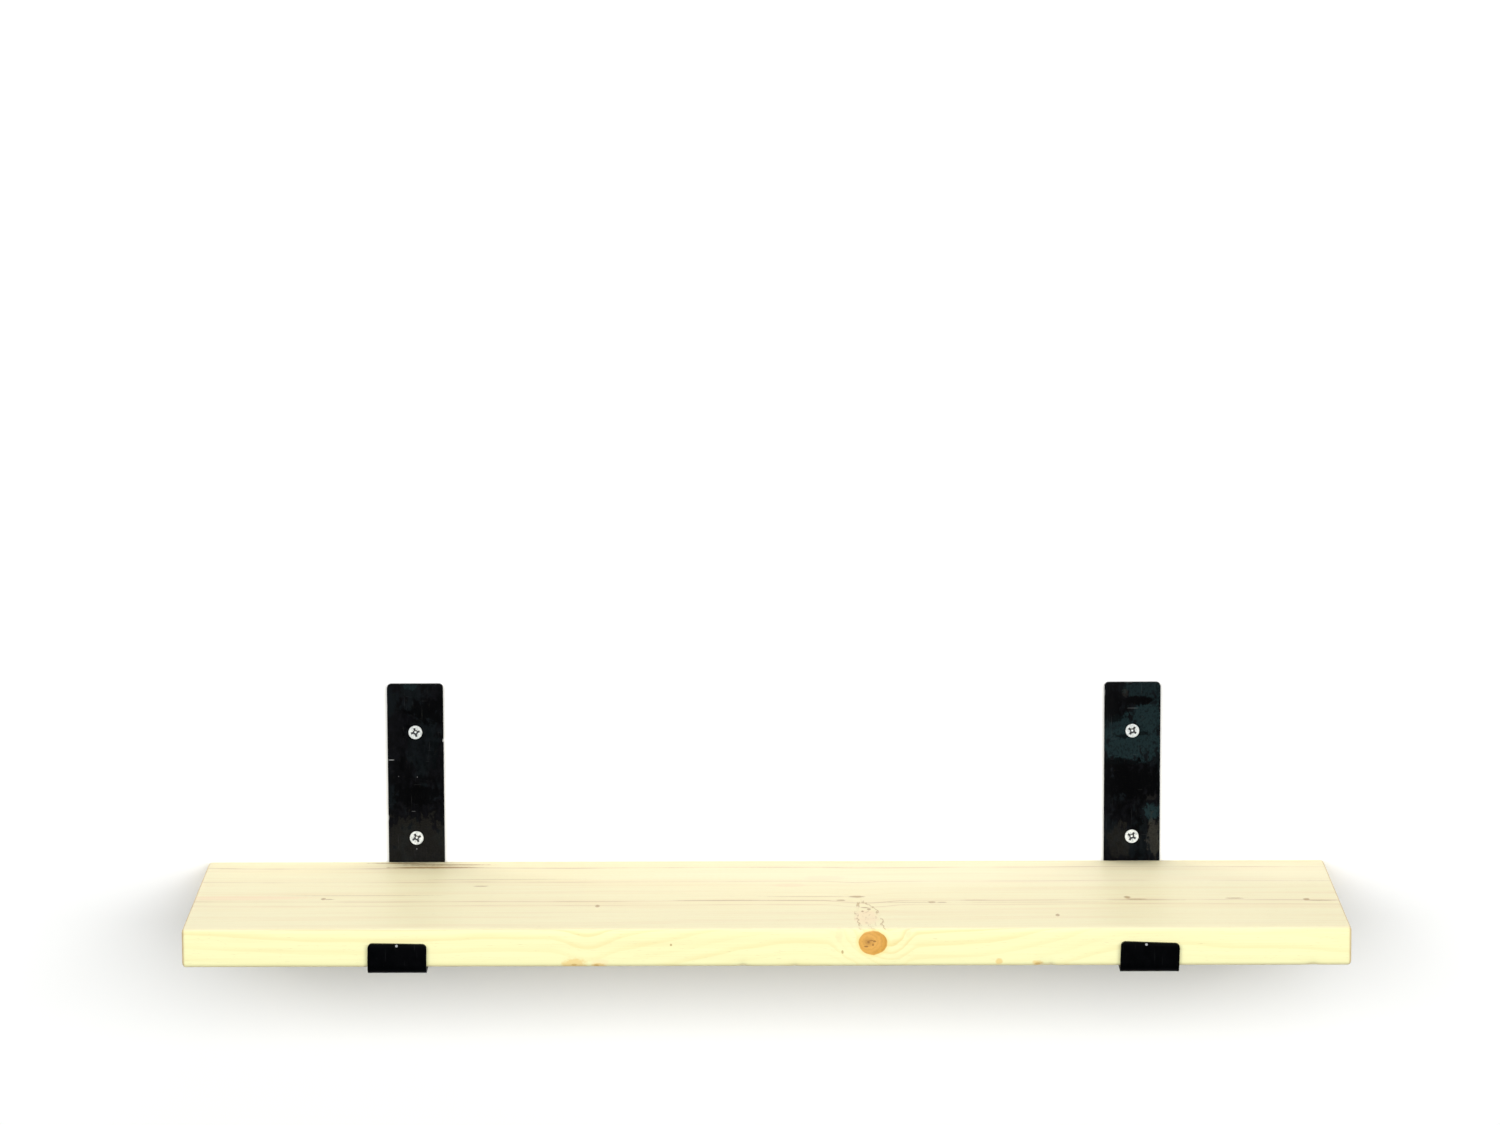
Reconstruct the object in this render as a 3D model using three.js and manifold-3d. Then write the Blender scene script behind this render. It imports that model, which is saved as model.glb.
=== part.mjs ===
// Wall shelf: a solid softwood board lying in two lipped brackets, each bent from one flat steel bar.
// Each bracket is screwed to the wall through its leg, and to the board from below through its seat.
// Millimetres. +Z is up, +X runs along the shelf and +Y points into the wall.
// The origin is on the wall's face, midway between the brackets, level with the board's top.

import * as THREE from 'three';
import { mergeVertices } from 'three/addons/utils/BufferGeometryUtils.js';
import Module from 'manifold-3d';

const wasm = await Module();
wasm.setup();

// ---- driving dimensions ----

// Solid board; shift is how far its middle lies along X from the middle of the two brackets.
const board = { length: 800, depth: 225, thickness: 27, edgeRadius: 3, endEase: 2.5, shift: -6 };

// Flat bar; chamfer is the small break along its long edges.
const bar = { width: 40, thickness: 4, bendRadius: 3, cornerRadius: 3, chamfer: 0.4 };

// Bracket: bracket spacing centre to centre, the leg's rise above the board, the lip's height from the
// bracket's underside, and the room between leg and lip, which holds the board with a little play.
const bracket = { spacing: 513, legRise: 129, lipHeight: 21, seatRoom: 226,
  notchRadius: 1.3, notchDrop: 0.3 };

// Rear clearance between the board and the legs, and between any screw and what it passes through.
const clearance = 0.3;

// Countersunk screws, with 45-degree cones under the head.
const wallScrew = { length: 50, radius: 2.5, neckRadius: 1.8, neckLength: 14, headRadius: 5,
  headEase: 0.15, rim: 0.35, point: 6, driveSpan: 5.2, driveWidth: 1.1, driveDepth: 2.2 };
const boardScrew = { length: 25, radius: 2, neckRadius: 1.5, neckLength: 6, headRadius: 4,
  headEase: 0.12, rim: 0.3, point: 4, driveSpan: 4.2, driveWidth: 0.9, driveDepth: 1.8 };

// How much wider a hole is than its screw's thread, to each side.
const holeSlack = 0.4;

// Wall screws: the upper one below the leg's top, and the lower one below that. Each drive cross is
// turned by its own angle in degrees, anticlockwise as its head is looked at.
const wallHoles = { fromTop: 35, spacing: 77 };
const driveTurns = { upper_left: 14, lower_left: 26, upper_right: 56, lower_right: 60 };
const boardDriveTurns = { rear: 30, front: 65 };

// Board screws: distance in from the board's rear and front edges.
const seatHoleInset = 50;

// Nylon plug round each wall screw, set a little below the wall's face and split into four legs.
const plug = { recess: 2.3, length: 40, radius: 4, tipLength: 4, taper: 0.8, collarRadius: 4.7,
  collarLength: 0.8, slit: 1.2, slitStart: 13, finWidth: 0.9, finReach: 4.9, finRoot: 3.2, finLength: 9 };

const roundSegments = 20;

// ---- derived places ----

const undersideZ = -board.thickness - bar.thickness;
const lipTopZ = undersideZ + bracket.lipHeight;
const seatReach = bracket.seatRoom + 2 * bar.thickness;
const boardRearY = -bar.thickness - clearance;
const upperScrewZ = bracket.legRise - wallHoles.fromTop;
const sides = { left: -bracket.spacing / 2, right: bracket.spacing / 2 };
const wallScrewHeights = { upper: upperScrewZ, lower: upperScrewZ - wallHoles.spacing };
const boardScrewPlaces = {
  rear: boardRearY - seatHoleInset,
  front: boardRearY - board.depth + seatHoleInset,
};

// ---- materials ----

const softwood = () => new THREE.MeshStandardMaterial({ color: 0xf3e2b4, roughness: 0.6 });
const blackSteel = () => new THREE.MeshStandardMaterial({ color: 0x1d2024, roughness: 0.45, metalness: 0.9 });
const zincSteel = () => new THREE.MeshStandardMaterial({ color: 0xcfd4d8, roughness: 0.3, metalness: 0.95 });
const nylon = () => new THREE.MeshStandardMaterial({ color: 0xb4b6b8, roughness: 0.55 });

// ---- booleans ----

// A solid from a closed geometry: shared points are merged and triangles without area are dropped.
function solidOf(geometry) {
  const bare = geometry.clone();
  bare.deleteAttribute('normal');
  bare.deleteAttribute('uv');
  const merged = mergeVertices(bare, 1e-4);
  const index = merged.index.array;
  const triVerts = [];
  for (let i = 0; i < index.length; i += 3) {
    const [a, b, c] = [index[i], index[i + 1], index[i + 2]];
    if (a !== b && b !== c && c !== a) triVerts.push(a, b, c);
  }
  return new wasm.Manifold(new wasm.Mesh({
    numProp: 3,
    vertProperties: Float32Array.from(merged.attributes.position.array),
    triVerts: Uint32Array.from(triVerts),
  }));
}

function geometryOf(solid) {
  const { vertProperties, triVerts } = solid.getMesh();
  const geometry = new THREE.BufferGeometry();
  geometry.setAttribute('position', new THREE.BufferAttribute(vertProperties, 3));
  geometry.setIndex(new THREE.BufferAttribute(triVerts, 1));
  geometry.computeVertexNormals();
  return geometry;
}

function cut(geometry, cutters) {
  const solid = cutters.reduce((whole, cutter) => whole.subtract(solidOf(cutter)), solidOf(geometry));
  return geometryOf(solid);
}

// ---- shared shapes ----

// A turned solid about Y from [radius, height] pairs that start and end on the axis.
function turned(pairs, segments = roundSegments) {
  return new THREE.LatheGeometry(pairs.map(([r, y]) => new THREE.Vector2(r, y)), segments);
}

// A countersunk screw along +Y, the top of its head at y = 0, with a turned cross recess.
function screwGeometry(screw, turn) {
  const coneEnd = screw.rim + screw.headRadius - screw.neckRadius;
  const body = turned([
    [0, 0], [screw.headRadius - screw.headEase, 0], [screw.headRadius, screw.headEase],
    [screw.headRadius, screw.rim],
    [screw.neckRadius, coneEnd], [screw.neckRadius, screw.neckLength], [screw.radius, screw.neckLength + 1],
    [screw.radius, screw.length - screw.point], [0, screw.length],
  ]);
  const angle = -THREE.MathUtils.degToRad(turn);
  const wings = [0, Math.PI / 2].map((quarter) => (
    new THREE.BoxGeometry(screw.driveSpan, 2 * screw.driveDepth, screw.driveWidth).rotateY(angle + quarter)
  ));
  return cut(body, wings);
}

// What a countersunk hole takes out of the bar, its wide face at y = 0 and its way out along +Y.
function holeCutter(screw) {
  const slack = clearance * Math.SQRT2;
  const faceRadius = screw.headRadius + screw.rim + slack;
  const holeRadius = screw.radius + holeSlack;
  const beyond = 1;
  return turned([
    [0, -beyond], [faceRadius + beyond, -beyond], [holeRadius, faceRadius - holeRadius],
    [holeRadius, bar.thickness + beyond], [0, bar.thickness + beyond],
  ]);
}

// ---- board ----

// The board's section in Y and Z with eased long edges, run along X, its ends eased by the bevel.
function boardGeometry() {
  const { length, depth, thickness, edgeRadius: r, endEase } = board;
  const section = new THREE.Shape();
  section.absarc(r, r, r, Math.PI, 1.5 * Math.PI);
  section.absarc(depth - r, r, r, 1.5 * Math.PI, 2 * Math.PI);
  section.absarc(depth - r, thickness - r, r, 0, 0.5 * Math.PI);
  section.absarc(r, thickness - r, r, 0.5 * Math.PI, Math.PI);
  const blank = new THREE.ExtrudeGeometry(section, {
    depth: length - 2 * endEase, curveSegments: 3, bevelEnabled: true, bevelSegments: 3,
    bevelSize: endEase, bevelThickness: endEase, bevelOffset: -endEase,
  });
  blank.translate(0, 0, endEase - length / 2);
  blank.applyMatrix4(outwardFrame());
  blank.translate(board.shift, boardRearY, -thickness);
  return cut(blank, pilotHoles());
}

// A profile drawn with x out from the wall and y up, extruded to both sides of the middle along X.
function outwardFrame() {
  return new THREE.Matrix4().makeBasis(
    new THREE.Vector3(0, -1, 0), new THREE.Vector3(0, 0, 1), new THREE.Vector3(-1, 0, 0),
  );
}

// Room in the board for each screw that comes up through a seat.
function pilotHoles() {
  const radius = boardScrew.radius + clearance;
  const reach = boardScrew.length - bar.thickness;
  const cutter = turned([
    [0, -1], [radius, -1], [radius, reach - boardScrew.point + clearance], [0, reach + 2 * clearance],
  ]);
  cutter.rotateX(Math.PI / 2);
  return Object.values(sides).flatMap((x) => Object.values(boardScrewPlaces).map((y) => (
    cutter.clone().translate(x, y, -board.thickness)
  )));
}

// ---- bracket ----

// The bent bar seen from its edge. Leg and lip start out too long by the trimming allowance.
const trimming = 2;

function bentBarSection() {
  const inner = bar.bendRadius;
  const outer = inner + bar.thickness;
  const low = undersideZ + outer;
  const front = seatReach - outer;
  const section = new THREE.Shape();
  section.moveTo(0, bracket.legRise + trimming);
  section.lineTo(0, low);
  section.absarc(outer, low, outer, Math.PI, 1.5 * Math.PI);
  section.absarc(front, low, outer, 1.5 * Math.PI, 2 * Math.PI);
  section.lineTo(seatReach, lipTopZ + trimming);
  section.lineTo(seatReach - bar.thickness, lipTopZ + trimming);
  section.absarc(front, low, inner, 0, -0.5 * Math.PI, true);
  section.absarc(outer, low, inner, -0.5 * Math.PI, -Math.PI, true);
  section.lineTo(bar.thickness, bracket.legRise + trimming);
  return section;
}

// Cuts a bar end to its height and rounds its two corners; y0 is the outer face of that end.
function endTrimmer(topZ, y0) {
  const half = bar.width / 2;
  const r = bar.cornerRadius;
  const outline = new THREE.Shape();
  outline.moveTo(-half - 1, topZ - r);
  outline.lineTo(-half, topZ - r);
  outline.absarc(-half + r, topZ - r, r, Math.PI, 0.5 * Math.PI, true);
  outline.absarc(half - r, topZ - r, r, 0.5 * Math.PI, 0, true);
  outline.lineTo(half + 1, topZ - r);
  outline.lineTo(half + 1, topZ + trimming + 1);
  outline.lineTo(-half - 1, topZ + trimming + 1);
  const prism = new THREE.ExtrudeGeometry(outline, {
    depth: bar.thickness + 2, curveSegments: 4, bevelEnabled: false,
  });
  prism.rotateX(Math.PI / 2);
  return prism.translate(0, y0 + bar.thickness + 1, 0);
}

// Small half-round nick in the middle of the lip's top edge.
function lipNotch() {
  const nick = new THREE.CylinderGeometry(bracket.notchRadius, bracket.notchRadius, bar.thickness + 2, 12);
  return nick.translate(0, bar.thickness / 2 - seatReach, lipTopZ - bracket.notchDrop);
}

// A bracket about its own middle at x = 0.
function bracketGeometry() {
  const { width, chamfer } = bar;
  const blank = new THREE.ExtrudeGeometry(bentBarSection(), {
    depth: width - 2 * chamfer, curveSegments: 4, bevelEnabled: true, bevelSegments: 1,
    bevelSize: chamfer, bevelThickness: chamfer, bevelOffset: -chamfer,
  });
  blank.translate(0, 0, chamfer - width / 2);
  blank.applyMatrix4(outwardFrame());
  const wallCuts = Object.values(wallScrewHeights).map((z) => (
    holeCutter(wallScrew).translate(0, -bar.thickness, z)
  ));
  const seatCuts = Object.values(boardScrewPlaces).map((y) => (
    holeCutter(boardScrew).rotateX(Math.PI / 2).translate(0, y, undersideZ)
  ));
  const ends = [endTrimmer(bracket.legRise, -bar.thickness), endTrimmer(lipTopZ, -seatReach)];
  return cut(blank, [...wallCuts, ...seatCuts, ...ends, lipNotch()]);
}

// ---- wall plug ----

// A nylon plug along +Y with its collar at y = 0: a split tube with two fins that stop it turning.
function plugGeometry() {
  const { length, radius, taper, collarRadius, collarLength } = plug;
  const bore = wallScrew.radius + clearance;
  const tube = turned([
    [bore, 0], [collarRadius, 0], [collarRadius, collarLength], [radius, collarLength],
    [radius, length - plug.tipLength], [radius - taper, length], [bore, length], [bore, 0],
  ]);
  const fins = [1, -1].map((side) => {
    const fin = new THREE.BoxGeometry(plug.finReach - plug.finRoot, plug.finLength, plug.finWidth);
    const middle = side * (plug.finReach + plug.finRoot) / 2;
    return fin.translate(middle, plug.finLength / 2, 0);
  });
  const slitLength = length - plug.slitStart + 1;
  const slits = [0, Math.PI / 2].map((quarter) => {
    const slit = new THREE.BoxGeometry(3 * radius, slitLength, plug.slit);
    return slit.translate(0, plug.slitStart + slitLength / 2, 0).rotateY(Math.PI / 4 + quarter);
  });
  const finned = fins.reduce((whole, fin) => whole.add(solidOf(fin)), solidOf(tube));
  return cut(geometryOf(finned), slits);
}

// ---- assembly ----

const shelf = new THREE.Group();

function place(name, geometry, material, x = 0, y = 0, z = 0) {
  const mesh = new THREE.Mesh(geometry, material);
  mesh.name = name;
  mesh.position.set(x, y, z);
  shelf.add(mesh);
  return mesh;
}

place('shelf_board', boardGeometry(), softwood());

for (const [side, x] of Object.entries(sides)) {
  place(`bracket_${side}`, bracketGeometry(), blackSteel(), x);

  for (const [level, z] of Object.entries(wallScrewHeights)) {
    const screw = screwGeometry(wallScrew, driveTurns[`${level}_${side}`]);
    place(`wall_screw_${level}_${side}`, screw, zincSteel(), x, -bar.thickness, z);
    place(`wall_plug_${level}_${side}`, plugGeometry(), nylon(), x, plug.recess, z);
  }

  for (const [end, y] of Object.entries(boardScrewPlaces)) {
    const geometry = screwGeometry(boardScrew, boardDriveTurns[end]);
    const screw = place(`board_screw_${end}_${side}`, geometry, zincSteel(), x, y, undersideZ);
    screw.rotation.x = Math.PI / 2;
  }
}

export default shelf;
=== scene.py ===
"""Looks of a wall shelf: a pine board lying in two lipped brackets bent from flat black steel bar.

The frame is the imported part's: metres, +Z up, +X along the shelf, +Y into the wall, the wall's face at
y = 0 and the board's top at z = 0. Meshes are drawn in millimetres and brought to metres at the end.
"""
import math
from types import SimpleNamespace

import bmesh
import bpy
from mathutils import Matrix, Vector, noise


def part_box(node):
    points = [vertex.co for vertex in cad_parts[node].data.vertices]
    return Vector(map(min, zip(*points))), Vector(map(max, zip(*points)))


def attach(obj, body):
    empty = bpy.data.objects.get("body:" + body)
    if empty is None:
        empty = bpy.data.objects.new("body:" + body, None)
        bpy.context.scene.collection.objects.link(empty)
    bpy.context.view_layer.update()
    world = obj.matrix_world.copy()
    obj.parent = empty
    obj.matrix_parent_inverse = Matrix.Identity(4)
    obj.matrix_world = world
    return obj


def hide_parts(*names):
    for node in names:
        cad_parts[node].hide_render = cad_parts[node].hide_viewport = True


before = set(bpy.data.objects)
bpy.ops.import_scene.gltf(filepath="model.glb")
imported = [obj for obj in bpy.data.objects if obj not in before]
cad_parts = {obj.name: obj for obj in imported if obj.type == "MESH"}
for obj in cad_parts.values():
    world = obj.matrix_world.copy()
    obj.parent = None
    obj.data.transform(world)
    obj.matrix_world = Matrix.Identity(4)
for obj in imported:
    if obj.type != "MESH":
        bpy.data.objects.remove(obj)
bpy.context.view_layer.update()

MM = 0.001
SIDES = ("left", "right")
HEIGHTS = ("upper", "lower")
SEAT_ENDS = ("rear", "front")

# ---- sizes in millimetres that the boxes of the frame's nodes don't give ----

# Lengths that differ by less are the same.
TINY = 1e-4

# The bar: its bends' inner radius, the rounded corners of its ends, and its broken edges.
BAR_THICKNESS = 4
BEND_RADIUS = 3
BAR_CORNER = 3
BAR_EDGE = 0.35
LIP_HEIGHT = 21

# How much wider a countersink is than its screw's head, and a hole than its thread, to each side.
COUNTERSINK_SLACK = 0.42
HOLE_SLACK = 0.4
PILOT_SLACK = 0.3

# The board: the radius along its long edges, and how far its ends are eased.
BOARD_EDGE = 3
BOARD_END_EASE = 2.5

# Screws: core is the radius at the thread's root; span, width and depth are the drive cross's.
WALL_SCREW = SimpleNamespace(length=50, radius=2.5, core=1.75, neck=1.8, neck_length=14, head=5,
                             rim=0.35, ease=0.15, point=6, pitch=2.2, span=6.8, width=1.6, depth=1.8)
BOARD_SCREW = SimpleNamespace(length=25, radius=2, core=1.4, neck=1.5, neck_length=6, head=4,
                              rim=0.3, ease=0.12, point=4, pitch=1.8, span=4.8, width=1.2, depth=1.5)

# How far each drive cross is turned, in degrees, anticlockwise as its head is looked at.
DRIVE_TURNS = {"upper_left": 14, "lower_left": 26, "upper_right": 56, "lower_right": 60}
BOARD_DRIVE_TURNS = {"rear": 30, "front": 65}


def box_of(node):
    """Lowest and highest corner of a CAD node, in millimetres."""
    low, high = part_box(node)
    return low / MM, high / MM


def middle_of(node):
    """Middle of a CAD node's box, in millimetres; for a screw or plug this lies on its axis."""
    low, high = box_of(node)
    return (low + high) / 2


BOARD_LOW, BOARD_HIGH = box_of("shelf_board")


# ---- mesh tools ----

# Edges that turn by more than this many degrees count as sharp.
SHARP_ANGLE = 35
BOARD_SHARP_ANGLE = 50


def added(name, data):
    """A new object in the scene."""
    made = bpy.data.objects.new(name, data)
    bpy.context.scene.collection.objects.link(made)
    return made


def object_of(name, bm):
    """An object in the scene from a bmesh."""
    bmesh.ops.recalc_face_normals(bm, faces=bm.faces)
    mesh = bpy.data.meshes.new(name)
    bm.to_mesh(mesh)
    bm.free()
    return added(name, mesh)


def apply_modifiers(piece):
    """Turns a piece's modifiers into plain mesh."""
    depsgraph = bpy.context.evaluated_depsgraph_get()
    made = bpy.data.meshes.new_from_object(piece.evaluated_get(depsgraph))
    piece.modifiers.clear()
    piece.data = made


def carve(piece, cutters, operation="DIFFERENCE"):
    """Cuts the cutters out of a piece, or joins them to it, and removes them."""
    for cutter in cutters:
        step = piece.modifiers.new("carve", "BOOLEAN")
        step.object = cutter
        step.operation = operation
        step.solver = "MANIFOLD"
    apply_modifiers(piece)
    for cutter in cutters:
        bpy.data.objects.remove(cutter)


def soften(piece, width):
    """Rounds every sharp edge of a piece a little."""
    step = piece.modifiers.new("soften", "BEVEL")
    step.width = width
    step.segments = 2
    step.limit_method = "ANGLE"
    step.angle_limit = math.radians(SHARP_ANGLE)
    step.use_clamp_overlap = True
    apply_modifiers(piece)


def seat_piece(piece, node, materials, sharp_angle=SHARP_ANGLE):
    """Brings a finished mesh from millimetres to metres and lets it stand for a CAD node."""
    piece.data.transform(Matrix.Scale(MM, 4))
    piece.data.materials.clear()
    for material in materials:
        piece.data.materials.append(material)
    piece.data.shade_smooth()
    piece.data.set_sharp_from_angle(angle=math.radians(sharp_angle))
    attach(piece, "root")
    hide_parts(node)


def arc(centre, radius, start, end, steps):
    """Points on an arc from one angle to another, in degrees."""
    turns = [math.radians(start + (end - start) * i / steps) for i in range(steps + 1)]
    return [(centre[0] + radius * math.cos(a), centre[1] + radius * math.sin(a)) for a in turns]


def join_rings(bm, low, high):
    """Faces between two rings of points, either of which may be a single point."""
    count = max(len(low), len(high))
    if len(low) == 1:
        low = low * count
    if len(high) == 1:
        high = high * count
    for i in range(count):
        j = (i + 1) % count
        bm.faces.new(list(dict.fromkeys([low[i], low[j], high[j], high[i]])))


def turned(profile, segments, ripple=None):
    """A solid turned about Z from (radius, height) pairs; ripple(height, angle) adds to the radius."""
    bm = bmesh.new()
    rings = []
    for radius, height in profile:
        if radius < TINY:
            rings.append([bm.verts.new((0, 0, height))])
            continue
        ring = []
        for i in range(segments):
            angle = 2 * math.pi * i / segments
            r = radius + (ripple(height, angle) if ripple else 0)
            ring.append(bm.verts.new((r * math.cos(angle), r * math.sin(angle), height)))
        rings.append(ring)
    for low, high in zip(rings, rings[1:]):
        join_rings(bm, low, high)
    return bm


def block(size_low, size_high, z_low, z_high):
    """A straight or tapering block about Z, from its (x, y) size at the bottom and at the top."""
    bm = bmesh.new()
    rings = []
    for (dx, dy), z in ((size_low, z_low), (size_high, z_high)):
        places = [(-1, -1), (1, -1), (1, 1), (-1, 1)]
        rings.append([bm.verts.new((sx * dx / 2, sy * dy / 2, z)) for sx, sy in places])
    join_rings(bm, *rings)
    bm.faces.new(rings[0])
    bm.faces.new(rings[1])
    return bm


def spin(degrees):
    return Matrix.Rotation(math.radians(degrees), 4, "Z")


def placed(name, bm, matrix):
    """An object from a bmesh that is moved first."""
    bm.transform(matrix)
    return object_of(name, bm)


# ---- shader tools ----

class Shader:
    """A material's node tree, with a short call for each node that its surface is made of.

    patterns names its noises: each has its waves to the millimetre along X, Y and Z, detail and roughness.
    """

    # A spot sets in at this share of its half sizes, and over this share it becomes whole.
    SPOT_RIM = 1.15
    SPOT_EDGE = 0.55

    def __init__(self, name, patterns, **settings):
        self.patterns = patterns
        self.material = bpy.data.materials.new(name)
        self.material.use_nodes = True
        self.tree = self.material.node_tree
        self.surface = self.tree.nodes["Principled BSDF"]
        for key, value in settings.items():
            self.surface.inputs[key.replace("_", " ").title().replace("Ior", "IOR")].default_value = value
        place = self.tree.nodes.new("ShaderNodeTexCoord").outputs["Object"]
        self.place = self.vector("MULTIPLY", place, (1 / MM, 1 / MM, 1 / MM))

    def node(self, kind, inputs, **settings):
        made = self.tree.nodes.new(kind)
        for key, value in settings.items():
            setattr(made, key, value)
        for key, value in inputs.items():
            if isinstance(value, bpy.types.NodeSocket):
                self.tree.links.new(value, made.inputs[key])
            else:
                made.inputs[key].default_value = value
        return made

    def maths(self, operation, *values):
        return self.node("ShaderNodeMath", dict(enumerate(values)), operation=operation).outputs[0]

    def vector(self, operation, *values):
        made = self.node("ShaderNodeVectorMath", dict(enumerate(values)), operation=operation)
        return made.outputs["Value" if operation == "LENGTH" else "Vector"]

    def parts(self, vector):
        return self.node("ShaderNodeSeparateXYZ", {0: vector}).outputs[:]

    def join(self, x, y, z):
        return self.node("ShaderNodeCombineXYZ", {0: x, 1: y, 2: z}).outputs[0]

    def step(self, value, low, high, to_low=0, to_high=1):
        """A soft step from one value to another as the input goes from low to high."""
        inputs = {0: value, 1: low, 2: high, 3: to_low, 4: to_high}
        return self.node("ShaderNodeMapRange", inputs, interpolation_type="SMOOTHSTEP").outputs[0]

    def noise(self, pattern, place=None):
        """The node of a named noise; its value and its colour lie between 0 and 1."""
        waves, detail, roughness = self.patterns[pattern]
        place = self.vector("MULTIPLY", place or self.place, waves)
        inputs = {"Vector": place, "Scale": 1, "Detail": detail, "Roughness": roughness}
        return self.node("ShaderNodeTexNoise", inputs)

    def grain(self, pattern, place=None):
        """A named noise's value."""
        return self.noise(pattern, place).outputs[0]

    def centred(self, value, spread):
        """A pattern value from 0 to 1, moved and widened to lie evenly about 0."""
        return self.maths("MULTIPLY_ADD", value, spread, -spread / 2)

    def random(self, value):
        return self.node("ShaderNodeTexWhiteNoise", {"W": value}, noise_dimensions="1D").outputs["Value"]

    def cover(self, under, over, *shares):
        """Lays one colour over another, as strongly as the product of the shares says."""
        inputs = {0: self.times(*shares), 6: under, 7: over}
        return self.node("ShaderNodeMix", inputs, data_type="RGBA").outputs[2]

    def fold(self, operation, values):
        whole = values[0]
        for value in values[1:]:
            whole = self.maths(operation, whole, value)
        return whole

    def plus(self, *values):
        return self.fold("ADD", values)

    def minus(self, value, other):
        return self.maths("SUBTRACT", value, other)

    def times(self, *values):
        return self.fold("MULTIPLY", values)

    def off(self, value, middle):
        """How far a value is from a middle value."""
        return self.maths("ABSOLUTE", self.minus(value, middle))

    def distance(self, centre, half):
        """Distance from a centre as a share of an ellipsoid's half sizes."""
        from_centre = self.vector("SUBTRACT", self.place, centre)
        return self.vector("LENGTH", self.vector("DIVIDE", from_centre, half))

    def spot(self, centre, half, ragged=None, edge=SPOT_EDGE):
        """A soft-edged spot, 1 in its middle: an ellipsoid of these half sizes, made ragged by a noise."""
        away = self.distance(centre, half)
        if ragged is not None:
            away = self.plus(away, ragged)
        return self.step(away, self.SPOT_RIM, self.SPOT_RIM - edge)

    def any(self, masks):
        """The strongest of several masks."""
        return self.fold("MAXIMUM", masks)

    def finish(self, colour, roughness, height, relief):
        """Links the surface's patterns; relief is the height in millimetres of a pattern value of 1."""
        inputs = {"Height": height, "Distance": relief * MM, "Strength": 1}
        normal = self.node("ShaderNodeBump", inputs).outputs[0]
        for name, value in (("Base Color", colour), ("Roughness", roughness), ("Normal", normal)):
            self.tree.links.new(value, self.surface.inputs[name])
        return self.material


def rgb(red, green, blue):
    return (red, green, blue, 1)


# ---- pine ----

# The tree's pith ran along X behind and above the board, at this y and z, so its rings show as long
# straight lines on top and as low arcs on the front edge.
PITH = (42, 95)
RING_WIDTH = 3
# How far the pith wanders along y and z over the board's length.
PITH_WANDER = (10, 7)

# The branch that made the big knot: where its middle meets the front face, how far it leans along X and Z
# for each millimetre it goes back, and the half sizes of the knot and of the disturbed wood round it.
KNOT = Vector((68, BOARD_LOW.y, BOARD_HIGH.z - 10.4))
KNOT_LEAN = (-0.07, 0.07)
KNOT_HALF = Vector((9.9, 55, 8.4))
COLLAR_HALF = Vector((12.5, 86, 12.5))

# The knot's dark heart and the cracks in it: places from the knot's middle, and half sizes.
HEART_SHIFT = Vector((-3, 0, 0.7))
HEART_HALF = (4.6, 400, 4)
HEART_CRACKS = [(-3, 0.6, 1, 0.9), (1.3, 1, 1.3, 0.7), (0.1, -1.5, 0.6, 0.9), (-4.5, -2.6, 1.6, 0.6),
                (-1.2, 1.6, 1.8, 0.35)]

EARLY_WOOD = rgb(0.875, 0.855, 0.490)
LATE_WOOD = rgb(0.80, 0.635, 0.26)
TAN = rgb(0.82, 0.715, 0.395)
BROWN = rgb(0.40, 0.225, 0.075)
SCRIBBLE = rgb(0.46, 0.29, 0.10)
PALE = rgb(0.95, 0.93, 0.60)
BLUSH = rgb(0.89, 0.68, 0.39)
SMALL_KNOT = rgb(0.78, 0.50, 0.15)
KNOT_BODY = rgb(0.73, 0.385, 0.085)
KNOT_RIM = rgb(0.60, 0.295, 0.04)
KNOT_DARK = rgb(0.26, 0.11, 0.025)
KNOT_HALO = rgb(0.88, 0.72, 0.28)
# End grain: its own darker tone, darkened further as painted shade on the end faces, which turn away from the
# light.
END_EARLY_AND_SHADE = rgb(0.70, 0.52, 0.28)
END_LATE_AND_SHADE = rgb(0.45, 0.28, 0.13)
# Tints over the wood's colour: the top is painted a little paler and less yellow than the edges, a painted
# sheen for the white light its planed face reflects; the underside is redder.
TOP_SHEEN_TINT = (1.03, 0.975, 1.14)
UNDERSIDE_TINT = (1.05, 0.955, 0.98)

WOOD_NOISE = dict(
    fibre=((0.014, 1.5, 1.5), 4, 0.65), bands=((0.004, 0.075, 0.075), 3, 0.6),
    pores=((0.16, 3.2, 3.2), 1, 0.5), pith=((1 / 170, 1 / 900, 1 / 900), 1.5, 0.5),
    ring_wobble=((1 / 40, 1 / 5, 1 / 5), 2, 0.5), ring_spacing=((0, 0, 1 / 26), 2, 0.5),
    line_fade=((1 / 60, 1 / 200, 0), 2, 0.5), mark_edge=((0.35, 0.5, 0.5), 3, 0.5),
    collar_edge=((0.12, 0.04, 0.12), 3, 0.5), knot_edge=((0.2, 0.1, 0.2), 2, 0.5),
    knot_rings=((0.5, 0.1, 0.5), 4, 0.5), knot_patches=((0.22, 0.1, 0.22), 3, 0.5),
    spike_outline=((0.35, 0.09, 0.35), 3, 0.5), spike_gaps=((0.3, 0.05, 0.3), 4, 0.6),
)
# How strongly each pattern covers the wood under it, from 0 to 1.
SHARE = SimpleNamespace(
    bands=0.40, fibre=0.2, broad_line=0.3, line=0.5, pores=0.3, blush=0.38, pale=0.3, spike=0.7, thread=0.4,
    streak=0.8, fleck=0.7, small_knot=0.6, halo=0.6, crack=0.75, end=0.85, end_ring=0.8,
    knot_rim=0.8, knot_ring=0.16, knot_heart=0.38, knot_patch=0.45,
)

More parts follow.
